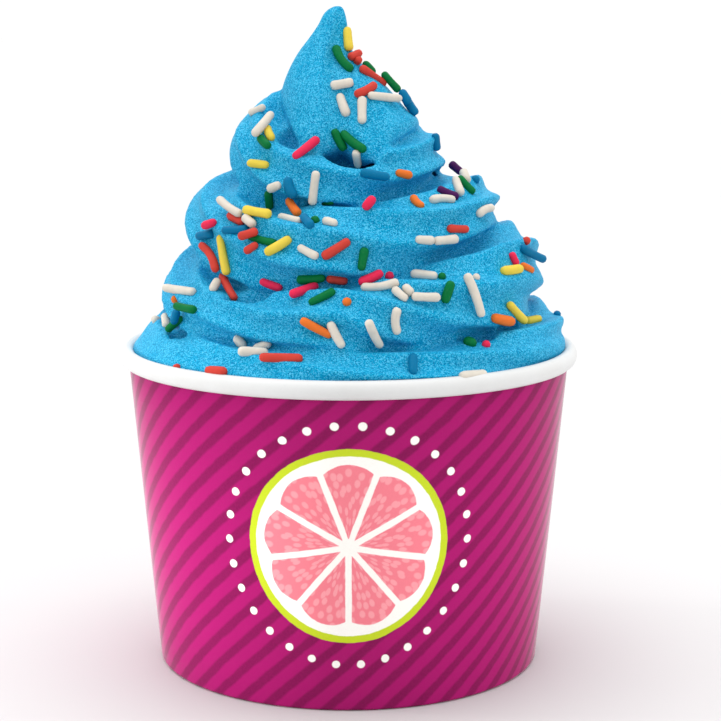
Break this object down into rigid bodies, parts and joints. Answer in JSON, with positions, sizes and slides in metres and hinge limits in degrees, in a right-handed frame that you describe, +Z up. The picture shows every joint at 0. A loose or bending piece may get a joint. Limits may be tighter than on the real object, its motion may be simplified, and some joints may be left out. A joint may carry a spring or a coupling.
{
  "type": "frozen yogurt cup",
  "caption": "Soft-serve frozen yogurt piped in a fluted coil with a bent peak, strewn with rod sprinkles, in a tapered paper cup with a rolled rim.",
  "frame": {"origin": "centre of the cup's foot ring, on the surface that it stands on", "axes": "+Z up the cup's axis, -Y towards the side that carries the round badge"},
  "size_m": [0.1, 0.1, 0.1419],
  "materials": {
    "printed_paper": "satin coated paper, magenta print with diagonal stripes, white rim",
    "plain_paper": "uncoated white board",
    "yogurt": "soft satin frozen yogurt, bright blue, with coloured sugar rods"
  },
  "bodies": {
    "root": {"cup_wall": "printed_paper", "cup_disc": "plain_paper", "yogurt": "yogurt"}
  },
  "joints": []
}
